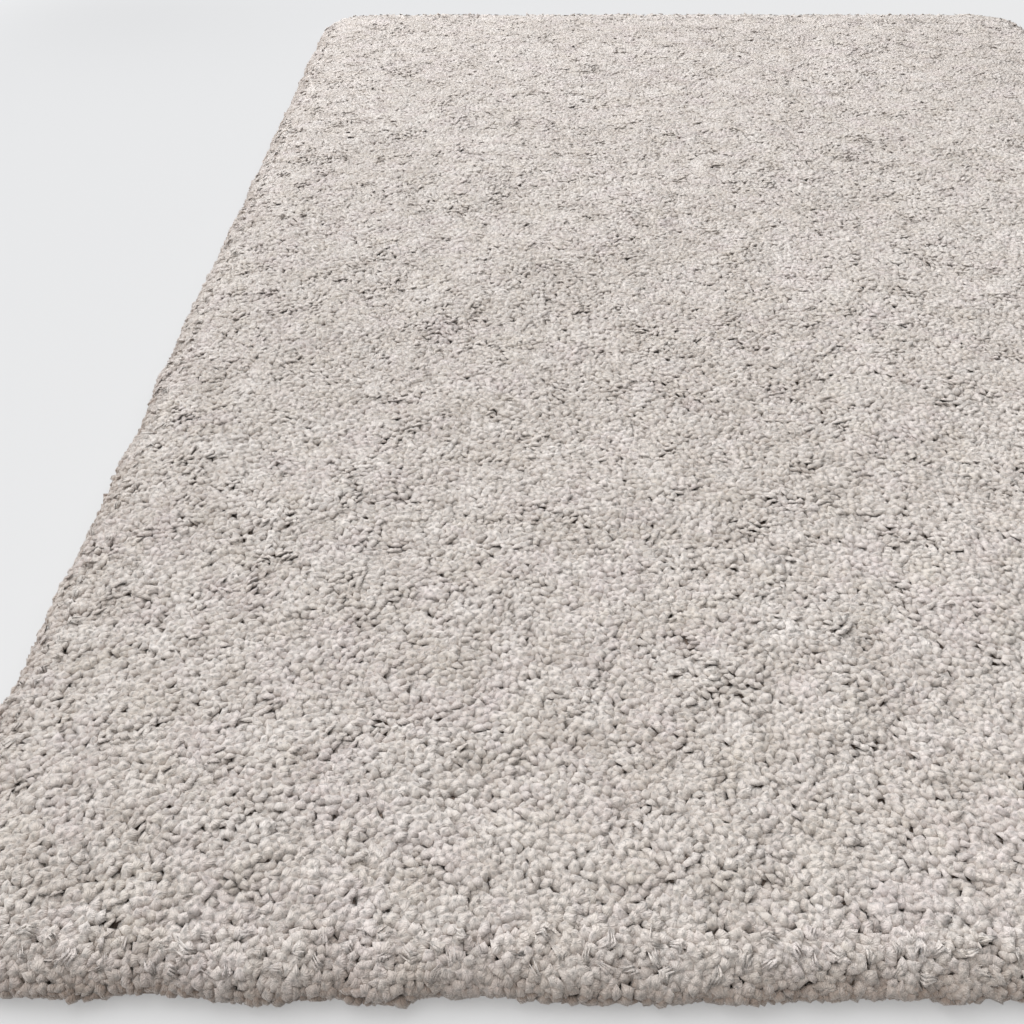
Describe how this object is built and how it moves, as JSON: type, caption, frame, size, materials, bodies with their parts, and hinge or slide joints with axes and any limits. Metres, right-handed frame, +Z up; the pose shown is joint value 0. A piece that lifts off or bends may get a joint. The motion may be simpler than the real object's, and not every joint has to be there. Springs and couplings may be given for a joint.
{
  "type": "shag rug",
  "caption": "Rectangular shag rug lying flat: deep, dense pile of soft rounded tufts in a warm light grey, rolled over at rounded corners and edges.",
  "frame": {"origin": "on the floor, under the middle of the rug", "axes": "+Z up, +Y along the rug's length, +X across its width"},
  "size_m": [1.6014, 2.3014, 0.0422],
  "materials": {
    "pile": "matt, fluffy cut yarn in warm light grey with paler, pinkish and beige tufts"
  },
  "bodies": {
    "root": {"shag_rug": "pile"}
  },
  "joints": []
}
